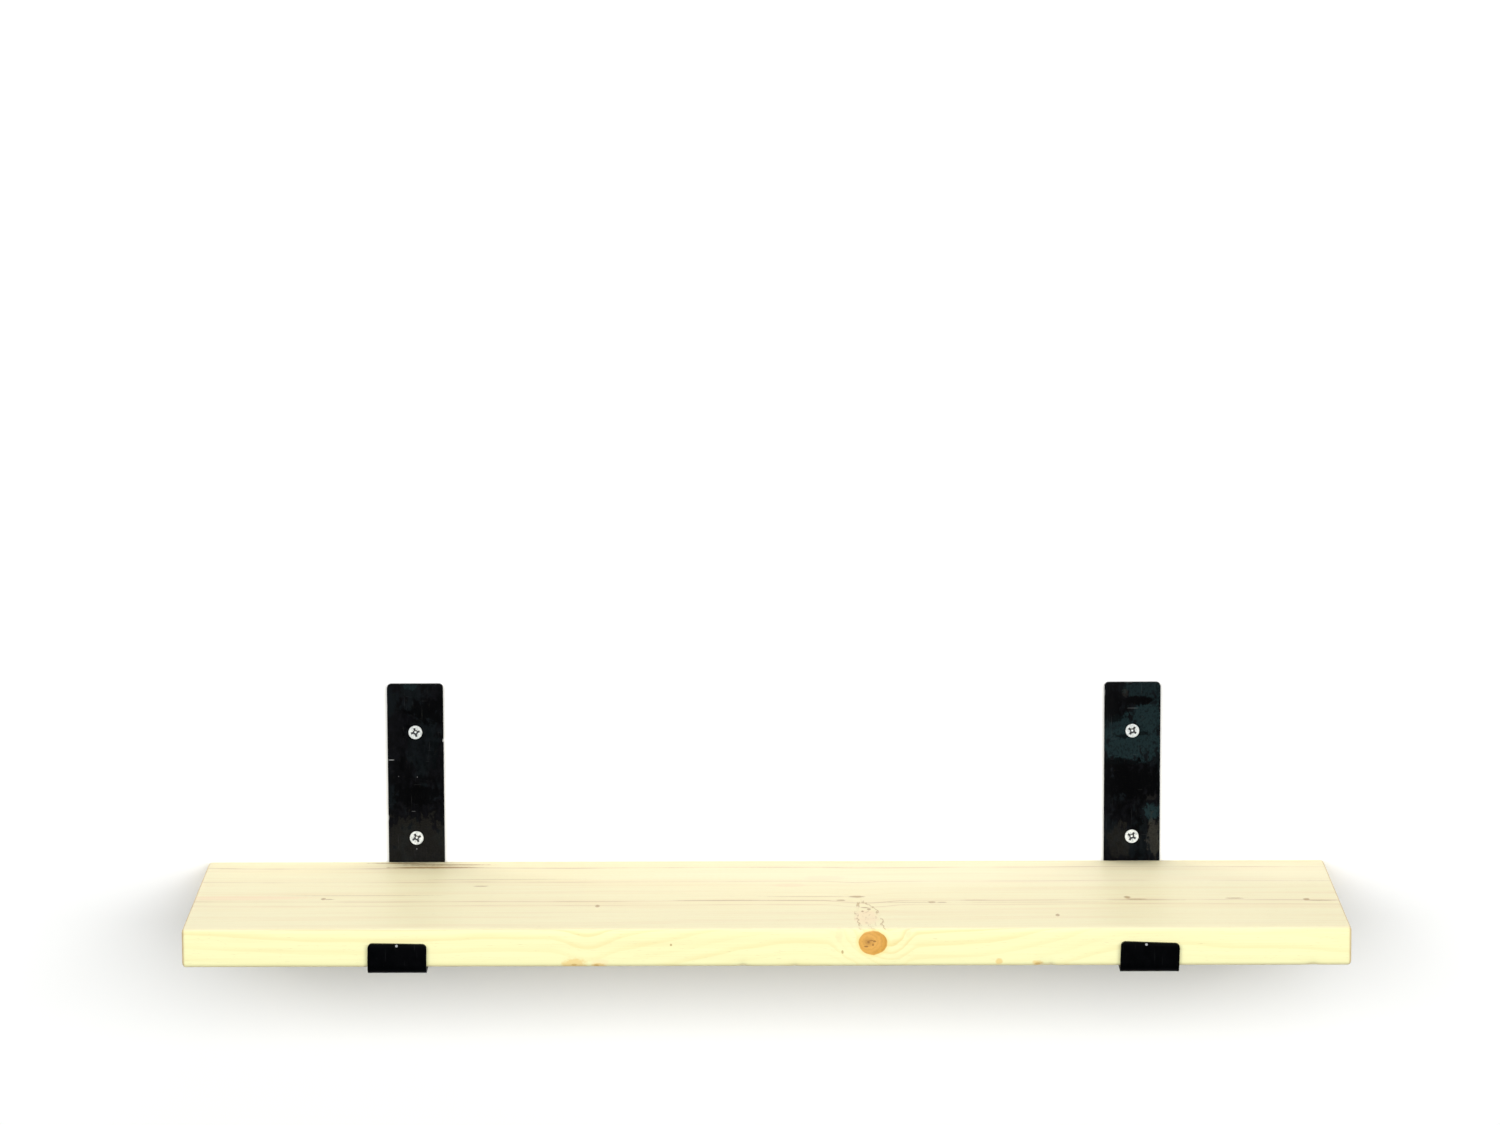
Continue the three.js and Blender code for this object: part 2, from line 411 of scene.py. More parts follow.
# Marks on the top: each is its middle's x and y and its half sizes along X and Y.
TOP_FLECKS = [(-314, -132, 1.8, 4), (-310, -133.5, 4, 1.4), (-206, -90, 6, 1.6), (-122, -157, 1.8, 4.2),
              (58, -128, 6, 3.2), (47, -139.5, 3.4, 2.4), (110, -146.5, 3, 3.4), (117, -146.8, 4, 1.6),
              (195.5, -189.5, 1.6, 4.4), (246.5, -131.5, 2.4, 4.4), (252.5, -138, 8, 1.8),
              (321, -135.5, 7, 1.8), (370.5, -139.5, 2.4, 4.2), (380, -143, 11, 1.4), (66, -169, 1.6, 3.4),
              (63, -164, 2.8, 1.6), (61.5, -176, 1, 3)]
# Thin dark threads, drawn out along the grain.
TOP_THREADS = [(24, -127, 34, 1.2), (18, -139.5, 28, 1.2), (98, -146.8, 28, 1.2), (140, -140, 12, 1.5),
               (-190, -67, 60, 1), (-35, -139, 40, 1.8), (262, -141, 30, 1), (180, -147, 55, 0.9),
               (-290, -121, 60, 1.2)]
# Darker streaks beside the left leg's foot.
TOP_STREAKS = [(-243, -26, 34, 3.4), (-236, -17, 36, 2.2), (-268, -11, 24, 1.8)]
# Paler wood along the rear edge on the right, and faint pinkish patches.
TOP_PALE = [(190, -52, 330, 46)]
TOP_BLUSHES = [(36, -65, 16, 9), (11, -89, 13, 7), (64, -196, 9, 26), (-372, -128, 52, 8)]

# Marks on the front face: each is its middle's x and z and its half sizes along X and Z.
FRONT_FLECKS = [(47.3, -16.8, 0.9, 1.5), (-69.6, -11.6, 0.8, 0.9), (-120.5, -26, 2.2, 1.2),
                (180.5, -25.3, 2.6, 1.1), (-135.8, -25.4, 2.2, 0.9)]
FRONT_KNOTS = [(-135.8, -25.6, 9.5, 5.2), (-119, -26.2, 6, 2.4), (153.9, -23.4, 2.9, 2.3),
               (180.5, -24.6, 4.4, 2)]
FRONT_BLUSHES = [(45, -5, 3, 5.5), (92, -4, 2.4, 3.4), (-118, -24, 7, 3)]
# How deep each kind of mark goes into the wood.
TOP_DEPTH = 1.5
FLECK_DEPTH = 2
KNOT_DEPTH = 6
BLUSH_DEPTH = 9

# Dark growth lines: how far from the rear edge each runs along the top, and its half width.
GROWTH_LINES = [(24.5, 1.6), (72, 1.1), (136.5, 1.5), (150, 0.7)]
GROWTH_LINE_SHIFT = 0.4
# The pale brown band round each growth line is this many times as wide.
BROAD_LINE = 8

# Bows of the growth rings on the front edge, outward towards the knots: from where to where along X each
# rises, and from what to what. The low one is measured from its middle; the right one's end is sharp.
LEFT_BOW = (30, -130, 0, 6.8)
LOW_BOW = (26, 0, 0, 2.2)
LOW_BOW_MIDDLE = -127
RIGHT_BOW = (310, 90, 0, 10)
RIGHT_BOW_END = (55, 90)
# How far behind the front face the bows start and are whole.
BOW_DEPTHS = (75, 5)
# How far the rings bow outward round the big knot.
COLLAR_BOW = 9


def branch_distance(s, half):
    """Distance from the branch's leaning middle as a share of its half sizes."""
    x, y, z = s.parts(s.place)
    back = s.minus(y, KNOT.y)
    across = s.minus(x, s.maths("MULTIPLY_ADD", back, KNOT_LEAN[0], KNOT.x))
    above = s.minus(z, s.maths("MULTIPLY_ADD", back, KNOT_LEAN[1], KNOT.z))
    return s.vector("LENGTH", s.vector("DIVIDE", s.join(across, back, above), tuple(half)))


def front_sway(s):
    """How far the wood along the front edge bows outward, in millimetres: most towards the knots."""
    x, y, _ = s.parts(s.place)
    left = s.step(x, *LEFT_BOW)
    low = s.step(s.off(x, LOW_BOW_MIDDLE), *LOW_BOW)
    right = s.times(s.step(x, *RIGHT_BOW), s.step(x, *RIGHT_BOW_END))
    start, whole = [BOARD_LOW.y + depth for depth in BOW_DEPTHS]
    return s.times(s.plus(left, low, right), s.step(y, start, whole))


def ring_radius(s, collar):
    """Distance from the wandering pith in millimetres, less where the wood bows out round the knots."""
    _, y, z = s.parts(s.place)
    wander = s.parts(s.noise("pith").outputs[1])
    out = s.plus(s.minus(PITH[0], y), s.centred(wander[0], PITH_WANDER[0]))
    up = s.plus(s.minus(PITH[1], z), s.centred(wander[1], PITH_WANDER[1]))
    radius = s.vector("LENGTH", s.join(out, up, 0))
    wobble = s.times(s.grain("ring_wobble"), 0.8)
    push = s.plus(s.step(collar, 2.6, 0.4, 0, COLLAR_BOW), front_sway(s))
    return s.minus(s.plus(radius, wobble), push)


def growth_rings(s, radius):
    """0 in the pale spring wood of each ring, rising to 1 in its dark line and dropping sharply."""
    uneven = s.times(s.grain("ring_spacing", s.join(0, 0, radius)), 3)
    phase = s.plus(s.maths("DIVIDE", radius, RING_WIDTH), uneven)
    share = s.maths("FRACT", phase)
    line = s.times(s.step(share, 0.40, 0.88), s.step(share, 1, 0.90))
    # Each ring has its own weight, and most are faint.
    weight = s.maths("POWER", s.random(s.maths("FLOOR", phase)), 1.8)
    return s.times(line, s.maths("MULTIPLY_ADD", weight, 0.9, 0.1))


def growth_lines(s, radius, widen=1):
    """The few dark lines that run the board's whole length, fading in and out along it."""
    masks = []
    for from_rear, half_width in GROWTH_LINES:
        at = math.hypot(PITH[0] - BOARD_HIGH.y + from_rear, PITH[1] - BOARD_HIGH.z) + GROWTH_LINE_SHIFT
        masks.append(s.step(s.off(radius, at), half_width * widen, 0))
    fade = s.step(s.grain("line_fade"), 0.36, 0.62, 0.25, 1)
    return s.times(s.any(masks), fade)


def knot_colour(s, inside):
    """The big knot's rim, darker on its right, its fine rings, its dark heart and its paler patches."""
    heart = s.distance(tuple(KNOT + HEART_SHIFT), HEART_HALF)
    wavy = s.plus(heart, s.times(s.grain("knot_rings"), 0.9))
    rings = s.step(s.maths("SINE", s.times(wavy, 11)), -0.2, 1)
    to_right = s.step(s.parts(s.place)[0], KNOT.x - 5, KNOT.x + 6, 0.25, 1)
    rim = s.times(s.step(inside, 0.35, 0.95), to_right)
    dark = s.step(wavy, 1.45, 0.75)
    patches = s.step(s.grain("knot_patches"), 0.52, 0.66)
    colour = s.cover(KNOT_BODY, KNOT_RIM, rim, SHARE.knot_rim)
    colour = s.cover(colour, KNOT_DARK, rings, SHARE.knot_ring)
    colour = s.cover(colour, KNOT_DARK, dark, SHARE.knot_heart)
    return s.cover(colour, KNOT_BODY, patches, SHARE.knot_patch)


def on_top(s, marks, ragged):
    """The marks of one list, on the board's top; on_front does the same on its front face."""
    spots = [s.spot((x, y, BOARD_HIGH.z), (dx, dy, TOP_DEPTH), ragged) for x, y, dx, dy in marks]
    return s.any(spots)


def on_front(s, marks, ragged, depth):
    spots = [s.spot((x, BOARD_LOW.y, z), (dx, depth, dz), ragged) for x, z, dx, dz in marks]
    return s.any(spots)


def spike(s, collar, top):
    """The scribbled outline that the big knot's branch leaves on the top."""
    collar = s.plus(collar, s.centred(s.grain("spike_outline"), 0.36))
    outline = s.step(s.off(collar, 1), 0.05, 0.012)
    inner = s.step(s.off(collar, 0.80), 0.035, 0.01, 0, 0.5)
    broken = s.step(s.grain("spike_gaps"), 0.44, 0.56, 0.1, 1)
    return s.times(s.any([outline, inner]), broken, top)


def clear_wood(s, top, radius, rings, lines, fibre):
    """The wood's own colour: broad bands, growth rings, fibres, dark growth lines and pores."""
    bands = s.grain("bands")
    colour = s.cover(EARLY_WOOD, TAN, s.step(bands, 0.44, 0.7), SHARE.bands)
    # The rings show most in the darker bands, and less on the top than on the edges.
    shown = s.times(s.step(bands, 0.3, 0.7, 0.40, 0.75), s.maths("MULTIPLY_ADD", top, -1, 1.55))
    colour = s.cover(colour, LATE_WOOD, s.times(rings, shown))
    colour = s.cover(colour, LATE_WOOD, s.step(fibre, 0.4, 0.75), SHARE.fibre)
    colour = s.cover(colour, TAN, growth_lines(s, radius, widen=BROAD_LINE), SHARE.broad_line)
    colour = s.cover(colour, BROWN, lines, SHARE.line)
    pores = s.step(s.grain("pores"), 0.70, 0.78)
    return s.cover(colour, BROWN, pores, SHARE.pores)


def pine():
    """Sawn and planed pine, with its growth rings, knots and marks."""
    s = Shader("pine", WOOD_NOISE, specular_ior_level=0.25)
    x, _, z = s.parts(s.node("ShaderNodeNewGeometry", {}).outputs["Normal"])
    top = s.step(z, 0.35, 0.9)
    under = s.step(z, -0.35, -0.9)
    end = s.step(s.maths("ABSOLUTE", x), 0.25, 0.7)
    collar = s.plus(branch_distance(s, COLLAR_HALF), s.centred(s.grain("collar_edge"), 0.3))
    inside = s.plus(branch_distance(s, KNOT_HALF), s.centred(s.grain("knot_edge"), 0.16))
    ragged = s.centred(s.grain("mark_edge"), 0.9)
    fibre = s.grain("fibre")
    radius = ring_radius(s, collar)
    rings = growth_rings(s, radius)
    lines = growth_lines(s, radius)

    colour = clear_wood(s, top, radius, rings, lines, fibre)
    blushes = s.any([on_top(s, TOP_BLUSHES, ragged), on_front(s, FRONT_BLUSHES, ragged, BLUSH_DEPTH)])
    colour = s.cover(colour, BLUSH, blushes, SHARE.blush)
    colour = s.cover(colour, PALE, on_top(s, TOP_PALE, ragged), SHARE.pale)
    # Painted sheen: the top face is tinted paler and less yellow.
    colour = s.cover(colour, s.vector("MULTIPLY", colour, TOP_SHEEN_TINT), top)
    colour = s.cover(colour, s.vector("MULTIPLY", colour, UNDERSIDE_TINT), under)

    colour = s.cover(colour, SCRIBBLE, spike(s, collar, top), SHARE.spike)
    flecks = s.any([on_top(s, TOP_FLECKS, ragged), on_front(s, FRONT_FLECKS, ragged, FLECK_DEPTH)])
    threads = s.times(on_top(s, TOP_THREADS, ragged), SHARE.thread)
    streaks = s.times(on_top(s, TOP_STREAKS, ragged), SHARE.streak)
    colour = s.cover(colour, BROWN, s.any([s.times(flecks, SHARE.fleck), threads, streaks]))
    colour = s.cover(colour, SMALL_KNOT, on_front(s, FRONT_KNOTS, ragged, KNOT_DEPTH), SHARE.small_knot)

    halo = s.times(s.step(inside, 1.3, 1.02), s.minus(1, top))
    colour = s.cover(colour, KNOT_HALO, halo, SHARE.halo)
    in_knot = s.step(inside, 1.03, 0.95)
    colour = s.cover(colour, knot_colour(s, inside), in_knot)
    cracks = [(KNOT.x + x, KNOT.z + z, dx, dz) for x, z, dx, dz in HEART_CRACKS]
    cracked = on_front(s, cracks, ragged, KNOT_DEPTH)
    colour = s.cover(colour, KNOT_DARK, cracked, SHARE.crack)
    # The ends' own darker grain, with painted shade where they turn from the light.
    end_grain_and_shade = s.cover(END_EARLY_AND_SHADE, END_LATE_AND_SHADE, rings, SHARE.end_ring)
    colour = s.cover(colour, end_grain_and_shade, end, SHARE.end)

    # Rougher along the raised fibres and on the end grain, smoother on the hard knot.
    roughness = s.plus(s.step(fibre, 0.3, 0.8, 0.46, 0.62), s.times(end, 0.2))
    roughness = s.minus(roughness, s.times(in_knot, 0.1))
    height = s.plus(s.times(rings, 0.5), s.times(fibre, 0.6))
    height = s.minus(height, s.times(s.any([flecks, cracked, lines]), 0.8))
    return s.finish(colour, roughness, height, relief=0.06)


# ---- board ----

# Mesh: spacing of the sections along the board, steps round each long edge, and parts of each flat side.
BOARD_STEP = 2
EDGE_STEPS = 5
FLAT_PARTS = (4, 16, 4, 16)
# Angles on the eased arc of each end, in degrees, at which a section is drawn.
EASE_ANGLES = (0, 25, 50, 72)
# The left end was sawn a little out of square: how far in its front corner lies, and how far that reaches.
LEFT_END_SKEW = 2.6
SKEW_REACH = 60
# Waviness left by the plane: depth, and lengths along X, Y and Z.
WAVE_DEPTH = 0.16
WAVE_LENGTHS = (90, 30, 12)
# Chips knocked out of the lower front edge: place along X, half length and depth.
CHIPS = [(-20.6, 2.6, 0.9), (15, 1.8, 0.7), (183.3, 2.2, 1), (189.5, 1.5, 1.3), (367.8, 3.4, 0.8),
         (-251, 2.5, 0.5)]
CHIP_REACH = 2.2


def board_stations():
    """Places along the board, closer together where its ends are eased, each with its inset."""
    ends = [(1 - math.cos(math.radians(a)), math.sin(math.radians(a))) for a in EASE_ANGLES]
    first = [(BOARD_LOW.x + d * BOARD_END_EASE, (1 - s) * BOARD_END_EASE) for d, s in ends]
    last = [(BOARD_HIGH.x - d * BOARD_END_EASE, (1 - s) * BOARD_END_EASE) for d, s in ends]
    low, high = BOARD_LOW.x + BOARD_END_EASE, BOARD_HIGH.x - BOARD_END_EASE
    count = round((high - low) / BOARD_STEP)
    middle = [(low + (high - low) * i / count, 0) for i in range(count + 1)]
    return first + middle + last[::-1]


def board_section(inset):
    """The board's rounded section as (y, z) points, drawn in from all sides by the inset."""
    y0, y1 = BOARD_LOW.y + inset, BOARD_HIGH.y - inset
    z0, z1 = BOARD_LOW.z + inset, BOARD_HIGH.z - inset
    r = BOARD_EDGE - 0.8 * inset
    corners = [((y1 - r, z0 + r), -90), ((y1 - r, z1 - r), 0),
               ((y0 + r, z1 - r), 90), ((y0 + r, z0 + r), 180)]
    points = []
    for index, (centre, start) in enumerate(corners):
        points += arc(centre, r, start, start + 90, EDGE_STEPS)
        after_centre, after_start = corners[(index + 1) % 4]
        a = points[-1]
        b = arc(after_centre, r, after_start, after_start, 1)[0]
        for i in range(1, FLAT_PARTS[index]):
            share = i / FLAT_PARTS[index]
            points.append((a[0] + (b[0] - a[0]) * share, a[1] + (b[1] - a[1]) * share))
    return points


def worn(point):
    """Moves a point of the board inward: planed waviness, the left end's skew, and the chipped edge."""
    centre_y = (BOARD_LOW.y + BOARD_HIGH.y) / 2
    centre_z = (BOARD_LOW.z + BOARD_HIGH.z) / 2
    waves = [at / length for at, length in zip(point, WAVE_LENGTHS)]
    wave = 0.5 + 0.5 * noise.noise(Vector(waves))
    inward = Vector((0, math.copysign(1, centre_y - point.y), math.copysign(1, centre_z - point.z)))
    moved = point + inward * WAVE_DEPTH * wave
    to_front = (BOARD_HIGH.y - point.y) / (BOARD_HIGH.y - BOARD_LOW.y)
    to_left = max(0, 1 - (point.x - BOARD_LOW.x) / SKEW_REACH)
    moved += Vector((LEFT_END_SKEW * to_front * to_left, 0, 0))
    edge_distance = math.hypot(point.y - BOARD_LOW.y, point.z - BOARD_LOW.z)
    for x, half_length, depth in CHIPS:
        fall = math.exp(-((point.x - x) / half_length) ** 2 - (edge_distance / CHIP_REACH) ** 2)
        moved += Vector((0, depth * fall, depth * fall))
    return moved


def make_board(material):
    bm = bmesh.new()
    rings = []
    for x, inset in board_stations():
        rings.append([bm.verts.new(worn(Vector((x, y, z)))) for y, z in board_section(inset)])
    for low, high in zip(rings, rings[1:]):
        join_rings(bm, low, high)
    bm.faces.new(rings[0])
    bm.faces.new(rings[-1])
    piece = object_of("pine_board", bm)
    carve(piece, pilot_cutters())
    seat_piece(piece, "shelf_board", [material], BOARD_SHARP_ANGLE)


def pilot_cutters():
    """Room for the screws that come up through the seats."""
    cutters = []
    for side in SIDES:
        for end in SEAT_ENDS:
            x, y, _ = middle_of(f"board_screw_{end}_{side}")
            reach = BOARD_SCREW.length - BAR_THICKNESS
            r = BOARD_SCREW.radius + PILOT_SLACK
            bm = turned([(0, -1), (r, -1), (r, reach - BOARD_SCREW.point), (0, reach + 2 * PILOT_SLACK)], 24)
            cutters.append(placed("pilot", bm, Matrix.Translation((x, y, BOARD_LOW.z))))
    return cutters


# ---- steel bar ----

TO_WALL = Matrix.Rotation(-math.pi / 2, 4, "X")
# How far a cutter stands past the surface that it cuts.
BEYOND = 1
BEND_STEPS = 10
INNER_BEND_STEPS = 8

# The dent in each lip's top edge, a blunt cone from the front: DENT_DROP is how far its axis lies below the
# edge, and DENT_SHIFT how far from the lip's middle.
DENT_RADIUS = 1.3
DENT_DEPTH = 1.4
DENT_DROP = 0.3
DENT_SHIFT = {"left": 0, "right": -2.4}
# How far each lip leans, in degrees, how high above the bar's underside that starts, and how far behind the
# lip it still reaches.
LIP_TILT = {"left": 1, "right": 2}
TILT_START = 1
LIP_MARGIN = 0.1

BLACK = rgb(0.0008, 0.0009, 0.0012)
SOOT = rgb(0.0036, 0.0037, 0.0050)
BLOOM = rgb(0.0095, 0.0205, 0.0235)
RUST = rgb(0.0245, 0.0235, 0.0200)
BARE_STEEL = rgb(0.46, 0.47, 0.48)

SCALE_NOISE = dict(
    cloud=((0.05, 0.05, 0.035), 5, 0.62), mottle=((0.22, 0.22, 0.16), 5, 0.65),
    speck=((1.6, 1.6, 1.6), 3, 0.6), pits=((0.7, 0.7, 0.55), 4, 0.65), rub_and_sheen=((0.35, 0.35, 0.35), 4, 0.7),
    scratch=((2.4, 2.4, 0.05), 2, 0.5), slant=((0.09, 0.6, 1.7), 2, 0.5),
)
# How strongly bare steel shows through each kind of wear; the rub along the edges is partly a painted
# highlight, and the dent partly a painted glint.
WEAR = SimpleNamespace(scratch=0.035, slant=0.03, rub_and_sheen=0.12, dent=0.9)
# Distances from the bar's middle over which the rub along its edges sets in: rubbed wear and a painted
# highlight on the broken edges.
RUBBED_AND_LIT_EDGE = (19.55, 19.95)
# Places along Y between which the plain scale of the seat turns into the mottled scale of the leg.
LEG_STARTS = (-30, -10)

# Patches on each leg: place from the leg's middle, height, half sizes and strength.
HAZE = {
    "left": [(-3, 128, 5, 3.2, 0.5), (4, 79, 10, 14, 0.08)],
    "right": [(8, 124, 14, 7, 0.6), (11, 104, 11, 14, 0.85), (-1, 87, 23, 16, 0.85), (14, 35, 6.5, 6, 1),
              (-13, 96, 8, 9, 0.6)],
}
DARK = {
    "left": [(9, 109, 12, 9, 0.9), (-9, 63, 9, 12, 0.6), (2, 48, 20, 7, 0.9)],
    "right": [(-14, 113, 6.5, 14, 0.85), (5, 116, 10, 3, 1), (0, 57, 26, 12, 1), (-9, 70, 12, 4, 0.9),
              (7, 92, 5, 1.6, 0.7), (-6, 90, 4, 1.4, 0.7)],
}
RUSTY = {
    "left": [(0, 9, 26, 22, 0.36)],
    "right": [(16, 15, 5, 14, 1), (-5, 121.5, 2.4, 3, 0.4), (-9, 14, 10, 12, 0.35), (14, 46, 5, 3, 0.3)],
}
NICKS = {
    "left": [(-17.6, 74, 2.2, 0.3, 0.5), (20, 88, 0.6, 1.2, 0.8), (1, 61.5, 0.35, 0.45, 0.2),
             (-12.4, 62, 0.35, 0.35, 0.14), (-2, 36.5, 1.4, 0.3, 0.1), (0, 9, 0.4, 0.5, 0.3),
             (-20, 32, 0.5, 2, 0.5)],
    "right": [(11.5, 131.4, 2, 0.4, 0.3), (-3, 129, 3, 0.3, 0.06), (0, 110.5, 4, 0.5, 0.05),
              (-20, 122, 0.5, 2.5, 0.2), (20, 63, 0.5, 5, 0.15)],
}
PATCH_DEPTH = 6
PATCH_EDGE = 0.3
# The bright middle of the dent, partly bare steel and partly a painted glint: how far below the lip's top
# edge it is, its half sizes and its soft edge.
DENT_SHINE_DROP = 0.9
DENT_SHINE_HALF = (0.9, 2.4, 0.9)
DENT_SHINE_EDGE = 0.4


def on_leg(s, middle_x, patches, ragged):
    """The strongest of the patches on the leg's front, each a ragged spot of its own strength."""
    masks = []
    for dx, z, half_x, half_z, strength in patches:
        centre = (middle_x + dx, -BAR_THICKNESS, z)
        spot = s.spot(centre, (half_x, PATCH_DEPTH, half_z), ragged, PATCH_EDGE)
        masks.append(s.times(spot, strength))
    return s.any(masks)


def black_steel(name, side):
    """Mill scale on hot-rolled bar: sooty black, blue-grey haze, brown bloom, scratches and bright nicks,
    with painted highlights on its edges and a painted glint in the lip's dent.
    """
    s = Shader(name, SCALE_NOISE, specular_ior_level=0.01)
    low, high = box_of(f"bracket_{side}")
    middle_x = (low.x + high.x) / 2
    x, y, _ = s.parts(s.place)
    across = s.off(x, middle_x)
    leg = s.step(y, *LEG_STARTS)
    cloud = s.grain("cloud")
    mottle = s.grain("mottle")
    speck = s.grain("speck")
    torn = s.centred(mottle, 3.2)
    rough_edge = s.centred(speck, 0.5)

    soot = s.times(s.step(mottle, 0.35, 0.7), s.maths("MULTIPLY_ADD", leg, 0.8, 0.2))
    colour = s.cover(BLACK, SOOT, soot)
    drift = s.times(s.step(s.maths("MULTIPLY_ADD", mottle, 0.5, cloud), 0.76, 0.86, 0, 0.12), leg)
    pitted = s.step(s.grain("pits"), 0.40, 0.50, 0.45, 1)
    haze = s.any([s.times(on_leg(s, middle_x, HAZE[side], torn), pitted), drift])
    colour = s.cover(colour, BLOOM, haze)
    speckled = s.step(speck, 0.3, 0.7, 0.5, 1.2)
    colour = s.cover(colour, RUST, on_leg(s, middle_x, RUSTY[side], torn), speckled)
    colour = s.cover(colour, BLACK, on_leg(s, middle_x, DARK[side], torn))

    scratch = s.times(s.step(s.grain("scratch"), 0.69, 0.76), WEAR.scratch)
    slant = s.times(s.step(s.grain("slant"), 0.71, 0.77), WEAR.slant)
    colour = s.cover(colour, BARE_STEEL, s.any([scratch, slant]))
    # Painted edge highlight, partly rubbed wear: bare steel colour along the bar's broken edges.
    rub_and_sheen = s.step(s.grain("rub_and_sheen"), 0.53, 0.66)
    colour = s.cover(colour, BARE_STEEL, s.step(across, *RUBBED_AND_LIT_EDGE), rub_and_sheen, WEAR.rub_and_sheen)
    # A painted glint in the middle of the lip's dent, drawn in the bare steel colour.
    dent_at = (middle_x + DENT_SHIFT[side], low.y, low.z + LIP_HEIGHT - DENT_SHINE_DROP)
    dent = s.times(s.spot(dent_at, DENT_SHINE_HALF, edge=DENT_SHINE_EDGE), WEAR.dent)
    nicks_and_glint = s.any([on_leg(s, middle_x, NICKS[side], rough_edge), dent])
    colour = s.cover(colour, BARE_STEEL, nicks_and_glint)

    roughness = s.plus(s.step(mottle, 0.3, 0.7, 0.32, 0.50), s.times(haze, 0.12))
    height = s.plus(s.times(speck, 0.6), s.times(cloud, 1.2))
    height = s.minus(height, s.times(nicks_and_glint, 2))
    return s.finish(colour, roughness, height, relief=0.05)


def bar_outline(low, high):
    """The bent bar seen from its edge, as (y, z) points: wall leg, seat and front lip."""
    inner = BEND_RADIUS
    outer = inner + BAR_THICKNESS
    rear = (high.y - outer, low.z + outer)
    front = (low.y + outer, low.z + outer)
    lip_top = low.z + LIP_HEIGHT
    points = [(high.y, high.z)]
    points += arc(rear, outer, 0, -90, BEND_STEPS)
    points += arc(front, outer, -90, -180, BEND_STEPS)
    points += [(low.y, lip_top), (low.y + BAR_THICKNESS, lip_top)]
    points += arc(front, inner, 180, 270, INNER_BEND_STEPS)
    points += arc(rear, inner, 270, 360, INNER_BEND_STEPS)
    points.append((high.y - BAR_THICKNESS, high.z))
    return points


def bent_bar(low, high):
    """The bar extruded across its width, with the corners of both its ends rounded."""
    bm = bmesh.new()
    rings = []
    for x in (low.x, high.x):
        rings.append([bm.verts.new((x, y, z)) for y, z in bar_outline(low, high)])
    join_rings(bm, *rings)
    bm.faces.new(rings[0])
    bm.faces.new(rings[1])
    tops = (high.z, low.z + LIP_HEIGHT)
    corners = [e for e in bm.edges if is_end_corner(e, tops)]
    bmesh.ops.bevel(bm, geom=corners, offset=BAR_CORNER, segments=8, profile=0.5, affect="EDGES")
    return bm


def is_end_corner(edge, tops):
    """Does the edge run through the bar's thickness at the very end of the leg or the lip?"""
    a, b = (v.co for v in edge.verts)
    level = abs(a.z - b.z) < TINY and any(abs(a.z - top) < TINY for top in tops)
    return level and abs(a.x - b.x) < TINY


def countersink(screw):
    """What a countersunk hole takes out of the bar, its wide mouth at height 0."""
    mouth = screw.head + screw.rim + COUNTERSINK_SLACK
    hole = screw.radius + HOLE_SLACK
    profile = [(0, -BEYOND), (mouth + BEYOND, -BEYOND), (hole, mouth - hole),
               (hole, BAR_THICKNESS + BEYOND), (0, BAR_THICKNESS + BEYOND)]
    return turned(profile, 56)


def bar_cutters(side, low, high):
    """The holes of both kinds of screws, and the dent in the lip's top edge."""
    cutters = []
    for height in HEIGHTS:
        x, _, z = middle_of(f"wall_screw_{height}_{side}")
        at = Matrix.Translation((x, -BAR_THICKNESS, z)) @ TO_WALL
        cutters.append(placed("hole", countersink(WALL_SCREW), at))
    for end in SEAT_ENDS:
        x, y, _ = middle_of(f"board_screw_{end}_{side}")
        cutters.append(placed("hole", countersink(BOARD_SCREW), Matrix.Translation((x, y, low.z))))
    dent = turned([(0, -BEYOND), (DENT_RADIUS, -BEYOND),
                   (0.3 * DENT_RADIUS, DENT_DEPTH), (0, DENT_DEPTH)], 24)
    middle = (low.x + high.x) / 2 + DENT_SHIFT[side]
    at = Matrix.Translation((middle, low.y, low.z + LIP_HEIGHT - DENT_DROP)) @ TO_WALL
    cutters.append(placed("dent", dent, at))
    return cutters


def tilt_lip(piece, side, low, high):
    """Leans the front lip a little in its own plane, as the bar was not bent quite square."""
    lean = math.radians(LIP_TILT[side])
    start = low.z + TILT_START
    foot = low.z + BAR_THICKNESS + BEND_RADIUS
    middle = (low.x + high.x) / 2
    for vertex in piece.data.vertices:
        if vertex.co.y > low.y + BAR_THICKNESS + LIP_MARGIN:
            continue
        x, _, z = vertex.co
        share = min(1, max(0, (z - start) / (foot - start)))
        vertex.co.x += share * lean * (z - foot)
        vertex.co.z -= share * lean * (x - middle)


def make_bracket(side, material):
    low, high = box_of(f"bracket_{side}")
    piece = object_of(f"steel_bracket_{side}", bent_bar(low, high))
    carve(piece, bar_cutters(side, low, high))
    soften(piece, BAR_EDGE)
    tilt_lip(piece, side, low, high)
    seat_piece(piece, f"bracket_{side}", [material])


# ---- screws ----

SCREW_SEGMENTS = 32
# The thread: sections to a turn, half its crest's share of the pitch, and the length over which it rises.
THREAD_SECTIONS = 6
CREST_HALF = 0.34
RUN_IN = 2
# The neck ends this far above the thread, and the last section is this far above the point.
NECK_GAP = 0.5
POINT_GAP = 0.3

# The drive cross's cutters, which start this far above the head. The pit: its radii as shares of the span,
# the height of its pointed floor, and its turn from the wings in degrees.
DRIVE_OVER = 0.4
PIT = SimpleNamespace(top=0.29, bottom=0.12, point=0.15, turn=7)
# The wings: what their top adds to span and width, and the shares of both at their bottom. The ticks: length
# as a share of the span, widths and depth.
WING = SimpleNamespace(flare=(0.5, 0.1), bottom=(0.45, 0.7), lift=0.1)
TICK = SimpleNamespace(span=0.86, top=0.24, bottom=0.12, depth=0.16)
